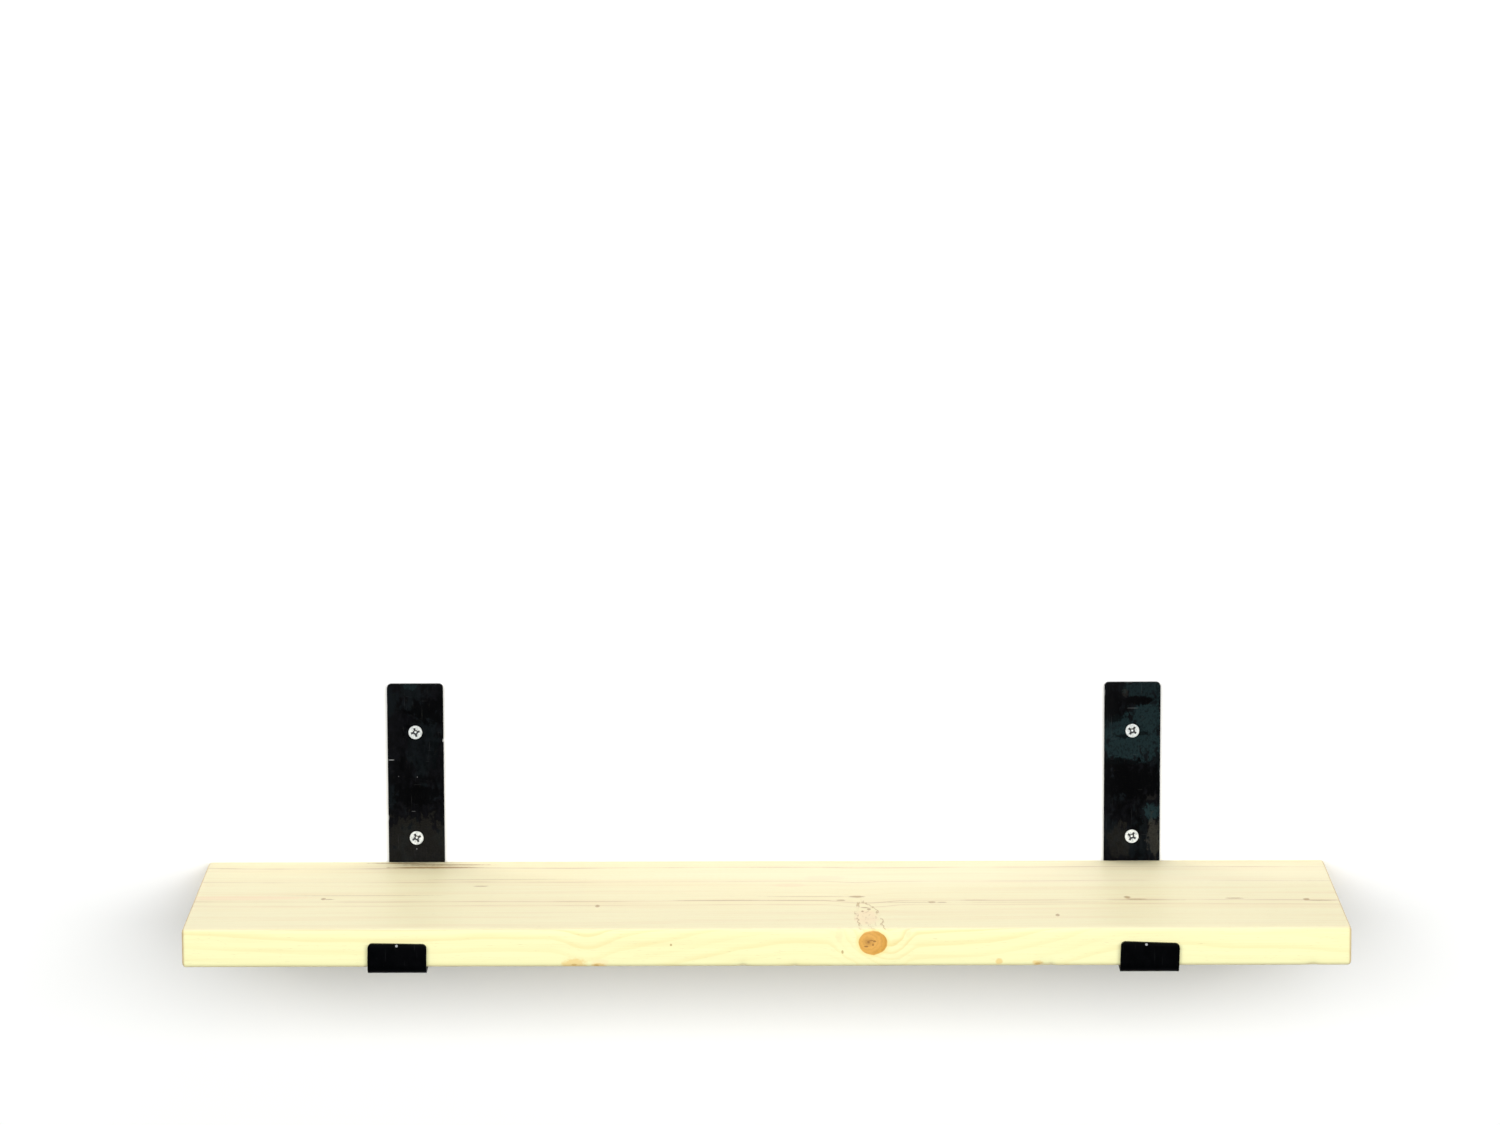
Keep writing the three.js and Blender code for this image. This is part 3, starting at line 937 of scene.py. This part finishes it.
# What lies inside the cross, and its floor's radius as a share of the span.
INSIDE = SimpleNamespace(top=0.02, below=0.3, from_cone=0.6, floor=0.13)

ZINC_NOISE = dict(haze=((0.5, 0.5, 0.5), 4, 0.6), fine=((5, 5, 5), 3, 0.5),
                  shade_and_grime=((2.5, 2.5, 2.5), 4, 0.6))
ZINC = rgb(0.56, 0.58, 0.58)
DULL_ZINC = rgb(0.36, 0.385, 0.39)
ZINC_SPECKS = rgb(0.30, 0.30, 0.29)
# The recess's colours: painted shade over dull plating.
DARK_SHADE_AND_GRIME = rgb(0.03, 0.032, 0.034)
PALE_SHADE_AND_GRIME = rgb(0.12, 0.122, 0.125)


def zinc():
    """Slightly clouded zinc plating."""
    s = Shader("zinc_plate", ZINC_NOISE, metallic=1)
    haze, fine = s.grain("haze"), s.grain("fine")
    colour = s.cover(ZINC, DULL_ZINC, s.step(haze, 0.35, 0.7))
    colour = s.cover(colour, ZINC_SPECKS, s.step(fine, 0.6, 0.75), 0.4)
    roughness = s.step(haze, 0.3, 0.7, 0.38, 0.55)
    return s.finish(colour, roughness, s.plus(fine, haze), relief=0.015)


def recess_shade_and_grime():
    """Painted shade inside a drive cross, over dull, dark plating."""
    s = Shader("recess_shade_and_grime", ZINC_NOISE, specular_ior_level=0.1)
    shade_and_grime = s.grain("shade_and_grime")
    colour = s.cover(DARK_SHADE_AND_GRIME, PALE_SHADE_AND_GRIME, s.step(shade_and_grime, 0.35, 0.7))
    roughness = s.step(shade_and_grime, 0.3, 0.7, 0.5, 0.7)
    return s.finish(colour, roughness, shade_and_grime, relief=0.02)


def thread_of(screw):
    """The sharp crest that winds along the shank below the neck, as extra radius."""
    start, end = screw.neck_length, screw.length

    def ripple(height, angle):
        if height <= start:
            return 0
        share = (height / screw.pitch - angle / (2 * math.pi)) % 1
        crest = max(0, 1 - abs(share - 0.5) / CREST_HALF)
        run_in = min(1, (height - start) / RUN_IN)
        run_out = min(1, (end - height) / screw.point)
        return (screw.radius - screw.core) * crest * run_in * run_out
    return ripple


def screw_profile(screw):
    """Radius and height from the middle of the head's top to the point, along the core of the thread."""
    cone_end = screw.rim + screw.head - screw.neck
    profile = [(0, 0), (screw.head - screw.ease, 0), (screw.head, screw.ease),
               (screw.head, screw.rim), (screw.neck, cone_end),
               (screw.neck, screw.neck_length - NECK_GAP)]
    height = screw.neck_length
    while height < screw.length - POINT_GAP:
        taper = min(1, (screw.length - height) / screw.point)
        profile.append((screw.core * taper, height))
        height += screw.pitch / THREAD_SECTIONS
    profile.append((0, screw.length))
    return profile


def drive_cutters(screw, matrix, turn):
    """A cross recess: a blunt pit in the middle, tapering wings, and a fine tick between each two wings."""
    span, width, depth = screw.span, screw.width, screw.depth
    pit = turned([(0, -DRIVE_OVER), (PIT.top * span, -DRIVE_OVER), (PIT.bottom * span, depth),
                  (0, depth + PIT.point)], 24)
    cutters = [(pit, turn + PIT.turn)]
    top = (span + WING.flare[0], width + WING.flare[1])
    bottom = (WING.bottom[0] * span, WING.bottom[1] * width)
    for quarter in (0, 90):
        cutters.append((block(top, bottom, -DRIVE_OVER, depth - WING.lift), turn + quarter))
    for quarter in (0, 90):
        tick = block((TICK.span * span, TICK.top), (TICK.span * span, TICK.bottom), -DRIVE_OVER, TICK.depth)
        cutters.append((tick, turn + quarter + 45))
    return [placed("drive", bm, matrix @ spin(angle)) for bm, angle in cutters]


def paint_recess(piece, matrix, screw):
    """Gives the walls inside the drive cross the second material, its painted shade; the floor of its pit
    stays bright.
    """
    back = matrix.inverted() @ Matrix.Scale(1 / MM, 4)
    for face in piece.data.polygons:
        at = back @ face.center
        off_axis = math.hypot(at.x, at.y)
        under_head = off_axis + at.z > screw.head - INSIDE.from_cone
        inside = INSIDE.top < at.z < screw.depth + INSIDE.below and not under_head
        floor = at.z > screw.depth and off_axis < INSIDE.floor * screw.span
        face.material_index = 1 if inside and not floor else 0


def make_screw(node, screw, matrix, turn, materials):
    """One screw, its head's top at the matrix's origin and its point along the matrix's Z."""
    bm = turned(screw_profile(screw), SCREW_SEGMENTS, thread_of(screw))
    piece = placed("steel_" + node, bm, matrix)
    carve(piece, drive_cutters(screw, matrix, turn))
    seat_piece(piece, node, materials)
    paint_recess(piece, matrix, screw)


def make_screws(materials):
    """The wall screws along +Y through the legs, and the board screws upward through the seats."""
    for side in SIDES:
        for height in HEIGHTS:
            node = f"wall_screw_{height}_{side}"
            x, _, z = middle_of(node)
            at = Matrix.Translation((x, -BAR_THICKNESS, z)) @ TO_WALL
            make_screw(node, WALL_SCREW, at, -DRIVE_TURNS[f"{height}_{side}"], materials)
        for end in SEAT_ENDS:
            node = f"board_screw_{end}_{side}"
            x, y, _ = middle_of(node)
            at = Matrix.Translation((x, y, box_of(node)[0].z))
            make_screw(node, BOARD_SCREW, at, BOARD_DRIVE_TURNS[end], materials)


# ---- wall plugs ----

# Each tooth is a cone that ends in a short land. The fins on the neck keep the plug from turning.
PLUG = SimpleNamespace(
    length=40, bore=2.8, collar=4.7, collar_length=0.8, collar_ease=0.2, shoulder=0.3, radius=4,
    tooth=3.4, tooth_gap=0.05, tooth_depth=0.55, tooth_land=0.5, first_tooth=0.6,
    tip=3.2, tip_length=3.5, tip_step=0.3, tip_gap=0.2, slit=1.2, slit_start=13, slit_span=12,
    fin_width=0.9, fin_root=3.2, fin_reach=4.9, fin_start=0.1, fin_length=9, fin_taper=(0.55, 0.7),
)
PLUG_SEGMENTS = 40

NYLON_NOISE = dict(haze=((0.3, 0.3, 0.3), 3, 0.5), fine=((3.5, 3.5, 3.5), 3, 0.6))
NYLON = rgb(0.46, 0.47, 0.49)
DULL_NYLON = rgb(0.40, 0.41, 0.43)


def nylon():
    s = Shader("grey_nylon", NYLON_NOISE, specular_ior_level=0.4)
    haze, fine = s.grain("haze"), s.grain("fine")
    colour = s.cover(NYLON, DULL_NYLON, s.step(haze, 0.3, 0.7))
    roughness = s.step(fine, 0.3, 0.7, 0.42, 0.58)
    return s.finish(colour, roughness, fine, relief=0.03)


def plug_profile(p):
    """Closed half section of a plug: a collar, a plain neck, saw-tooth rings, a tapering tip and the bore."""
    radius, collar_end = p.radius, p.collar_length
    points = [(p.bore, 0), (p.collar - p.collar_ease, 0), (p.collar, p.collar_ease),
              (p.collar, collar_end), (radius, collar_end + p.shoulder), (radius, p.slit_start)]
    height = p.slit_start + p.first_tooth
    while height + p.tooth < p.length - p.tip_length:
        top = height + p.tooth
        points += [(radius - p.tooth_depth, height), (radius, top - p.tooth_land), (radius, top)]
        height = top + p.tooth_gap
    points += [(radius - p.tip_step, height + p.tip_gap), (p.tip, p.length)]
    return points + [(p.bore, p.length), (p.bore, 0)]


def make_plug(node, p, material):
    """One wall plug, from its collar inward along +Y: two fins on its neck, and four legs below it."""
    middle = middle_of(node)
    at = Matrix.Translation((middle.x, box_of(node)[0].y, middle.z)) @ TO_WALL
    bm = turned(plug_profile(p), PLUG_SEGMENTS)
    bmesh.ops.remove_doubles(bm, verts=bm.verts, dist=TINY)
    piece = placed("nylon_" + node, bm, at)
    foot = (p.fin_reach - p.fin_root, p.fin_width)
    end = (p.fin_taper[0] * foot[0], p.fin_taper[1] * foot[1])
    reach = Matrix.Translation(((p.fin_reach + p.fin_root) / 2, 0, 0))
    fins = []
    for angle in (0, 180):
        fins.append(placed("fin", block(foot, end, p.fin_start, p.fin_length), at @ spin(angle) @ reach))
    carve(piece, fins, "UNION")
    across = (p.slit_span, p.slit)
    slits = []
    for angle in (45, 135):
        slits.append(placed("slit", block(across, across, p.slit_start, p.length + BEYOND), at @ spin(angle)))
    carve(piece, slits)
    seat_piece(piece, node, [material])


# ---- stage, lights and camera ----

# In metres. The wall's sheet stands a hair behind the wall's face, clear of the legs' backs.
FLOOR_Z = -1.2
FLOOR_HALF = (8, 9)
WALL_TOP = 1.6
WALL_HALF = 2
WALL_GAP = 0.0002
WALL_PAINT = rgb(0.93, 0.93, 0.93)
FLOOR_PAINT = rgb(0.72, 0.71, 0.69)

# Soft rectangles of light, aimed at the frame's origin: name, place, size and watts.
LIGHTS = [
    ("key", (0.22, -5.6, 1.41), (6.6, 2.1), 392),
    ("overhead", (0.9, -1.1, 2.6), (2.4, 1.6), 9),
    ("fill_behind_left", (-2.2, 2.6, 1.6), (2.4, 2), 34),
    ("fill_behind_right", (2.4, 2.4, 0.4), (2, 2), 22),
]
# The pale backdrop: its colour, how strongly it lights the shelf, and how bright it is itself.
BACKDROP = rgb(0.94, 1, 0.94)
BACKDROP_LIGHT = 0.17
BACKDROP_SEEN = 0.75

# The camera: place in metres, and angles in radians.
CAMERA_PLACE = Vector((0.0168, -4.2702, 0.8919))
CAMERA_DOWN = 0.157
CAMERA_TURN = 0.0078
CAMERA_ROLL = -0.0039
CAMERA_LENS = 145.54


def one_sided(name, colour):
    """Matt paint that shows only from the front, so that the shelf can be looked at from behind."""
    s = Shader(name, {}, base_color=colour, roughness=0.9, specular_ior_level=0.1)
    back = s.node("ShaderNodeNewGeometry", {}).outputs["Backfacing"]
    clear = s.node("ShaderNodeBsdfTransparent", {}).outputs[0]
    both = s.node("ShaderNodeMixShader", {0: back, 1: s.surface.outputs[0], 2: clear}).outputs[0]
    s.tree.links.new(both, s.tree.nodes["Material Output"].inputs["Surface"])
    return s.material


def sheet(name, corners, material):
    """A flat four-cornered backdrop that faces the side from which its corners run anticlockwise."""
    mesh = bpy.data.meshes.new(name)
    mesh.from_pydata(corners, [], [(0, 1, 2, 3)])
    mesh.materials.append(material)
    made = added(name, mesh)
    return made


def make_stage():
    """A pale wall that casts no shadow, and a pale floor that throws no light back."""
    foot = [(x, WALL_GAP, FLOOR_Z) for x in (-WALL_HALF, WALL_HALF)]
    top = [(x, WALL_GAP, WALL_TOP) for x in (WALL_HALF, -WALL_HALF)]
    wall = sheet("wall", foot + top, one_sided("wall_paint", WALL_PAINT))
    wall.visible_shadow = False
    x, y = FLOOR_HALF
    corners = [(-x, -y, FLOOR_Z), (x, -y, FLOOR_Z), (x, y, FLOOR_Z), (-x, y, FLOOR_Z)]
    floor = sheet("floor", corners, one_sided("floor_paint", FLOOR_PAINT))
    floor.visible_diffuse = False
    floor.visible_glossy = False


def area_light(name, place, size, watts):
    """A large soft rectangle of light, aimed at the origin and itself unseen."""
    light = bpy.data.lights.new(name, "AREA")
    light.shape = "RECTANGLE"
    light.size, light.size_y = size
    light.energy = watts
    made = added(name, light)
    made.location = place
    made.rotation_euler = (-Vector(place)).to_track_quat("-Z", "Y").to_euler()
    made.visible_camera = False


def make_lights():
    for name, place, size, watts in LIGHTS:
        area_light(name, place, size, watts)
    bpy.context.scene.world = studio_world()
    bpy.context.scene.view_settings.view_transform = "Standard"


def studio_world():
    """A pale backdrop all round that lights the shelf only faintly."""
    world = bpy.data.worlds.new("studio")
    world.use_nodes = True
    tree = world.node_tree
    backdrop = tree.nodes["Background"]
    backdrop.inputs["Color"].default_value = BACKDROP
    seen = tree.nodes.new("ShaderNodeLightPath").outputs["Is Camera Ray"]
    strength = tree.nodes.new("ShaderNodeMapRange")
    strength.inputs["To Min"].default_value = BACKDROP_LIGHT
    strength.inputs["To Max"].default_value = BACKDROP_SEEN
    tree.links.new(seen, strength.inputs["Value"])
    tree.links.new(strength.outputs[0], backdrop.inputs["Strength"])
    return world


def make_camera():
    """A long lens straight in front and a little above."""
    lens = bpy.data.cameras.new("camera")
    lens.lens = CAMERA_LENS
    lens.sensor_width = 36
    lens.clip_start = 0.1
    camera = added("camera", lens)
    turn = Matrix.Rotation(CAMERA_TURN, 4, "Z")
    tilt = Matrix.Rotation(math.pi / 2 - CAMERA_DOWN, 4, "X")
    roll = Matrix.Rotation(CAMERA_ROLL, 4, "Z")
    camera.matrix_world = Matrix.Translation(CAMERA_PLACE) @ turn @ tilt @ roll
    bpy.context.scene.camera = camera


# ---- the scene ----

make_camera()
make_lights()
make_stage()
make_board(pine())
for bracket_side in SIDES:
    make_bracket(bracket_side, black_steel(f"black_steel_{bracket_side}", bracket_side))
make_screws([zinc(), recess_shade_and_grime()])
plug_material = nylon()
for plug_side in SIDES:
    for plug_height in HEIGHTS:
        make_plug(f"wall_plug_{plug_height}_{plug_side}", PLUG, plug_material)
